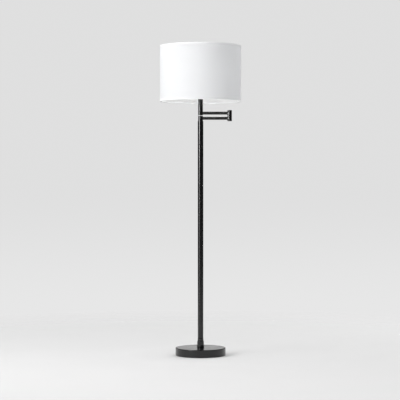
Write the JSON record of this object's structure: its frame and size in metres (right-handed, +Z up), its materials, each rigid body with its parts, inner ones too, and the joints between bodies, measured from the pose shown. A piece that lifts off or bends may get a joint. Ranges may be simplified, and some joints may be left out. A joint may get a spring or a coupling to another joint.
{
  "type": "swing-arm floor lamp",
  "caption": "Floor lamp with a round weighted base, a straight black pole, a folding swing arm and a white drum shade on a harp.",
  "frame": {"origin": "on the floor, under the axis of the pole, in the middle of the base's underside", "axes": "+Z up along the pole; +X towards the elbow of the folded arm; the switch faces -Y and the cord's inlet +Y"},
  "size_m": [0.381, 0.381, 1.451],
  "materials": {
    "black_paint": "satin black powder coat with a soft gloss",
    "zinc_steel": "zinc-plated turned steel",
    "cast_iron": "rough sand-cast, dipped in dark primer",
    "foot_pad": "matte black foam pad",
    "black_rubber": "matte moulded",
    "lead_jacket": "smooth dull jacket",
    "phenolic": "moulded phenolic",
    "fibre_sleeve": "pressed insulating fibre",
    "brass": "bright rolled brass",
    "nickel": "nickel-plated, satin",
    "opal_bulb": "opal white diffuser, smooth",
    "white_wire": "white enamel on wire",
    "shade_liner": "smooth white styrene sheet",
    "shade_fabric": "fine plain-weave white cloth"
  },
  "bodies": {
    "root": {"base_cover": "black_paint", "base_weight": "cast_iron", "base_pad": "foot_pad", "cord_bushing": "black_rubber", "base_stud": "zinc_steel", "base_washer": "zinc_steel", "base_nut": "zinc_steel", "base_collar": "black_paint", "pole_neck": "black_paint", "pole_section_1": "black_paint", "pole_section_2": "black_paint", "pole_section_3": "black_paint", "pole_top_section": "black_paint", "pole_coupling_1": "zinc_steel", "pole_coupling_2": "zinc_steel", "pole_coupling_3": "zinc_steel", "pole_top_plug": "zinc_steel", "pole_pivot": "zinc_steel", "pole_pivot_washer": "zinc_steel", "pole_pivot_nut": "zinc_steel", "pole_lead": "lead_jacket"},
    "lower_arm": {"lower_hub": "black_paint", "lower_hub_cap": "black_paint", "lower_arm_tube": "black_paint", "elbow_lower": "black_paint", "elbow_bottom_cap": "black_paint", "elbow_pivot": "zinc_steel", "elbow_washer": "zinc_steel", "elbow_nut": "zinc_steel", "lower_arm_lead": "lead_jacket"},
    "upper_arm": {"elbow_upper": "black_paint", "elbow_top_cap": "black_paint", "upper_arm_tube": "black_paint", "post_bottom_cap": "black_paint", "post": "black_paint", "post_top_cap": "black_paint", "socket_nipple": "zinc_steel", "upper_arm_lead": "lead_jacket", "harp_saddle": "nickel", "harp": "nickel", "harp_sleeve_left": "nickel", "harp_sleeve_right": "nickel", "socket_cap": "black_paint", "socket_shell": "black_paint", "socket_sleeve": "fibre_sleeve", "socket_body": "phenolic", "socket_screw_shell": "brass", "bulb_cap": "nickel", "bulb_globe": "opal_bulb"},
    "switch": {"switch_stem": "brass", "switch_knob": "black_rubber"},
    "shade": {"harp_stud": "nickel", "shade_spider": "white_wire", "shade_top_ring": "white_wire", "shade_bottom_ring": "white_wire", "shade_liner": "shade_liner", "shade_fabric": "shade_fabric", "shade_top_trim": "shade_fabric", "shade_bottom_trim": "shade_fabric", "finial": "black_paint"}
  },
  "joints": [
    {"name": "pole_swing", "type": "hinge", "parent": "root", "child": "lower_arm", "pos_m": [0, 0, 1.1115], "axis": [0, 0, 1], "range_deg": [-170, 170]},
    {"name": "elbow_swing", "type": "hinge", "parent": "lower_arm", "child": "upper_arm", "pos_m": [0.1365, 0, 1.124], "axis": [0, 0, 1], "range_deg": [-170, 170]},
    {"name": "shade_turn", "type": "hinge", "parent": "upper_arm", "child": "shade", "pos_m": [0, 0, 1.42], "axis": [0, 0, 1], "continuous": true},
    {"name": "switch_turn", "type": "hinge", "parent": "upper_arm", "child": "switch", "pos_m": [0, -0.02, 1.24], "axis": [0, -1, 0], "continuous": true}
  ]
}
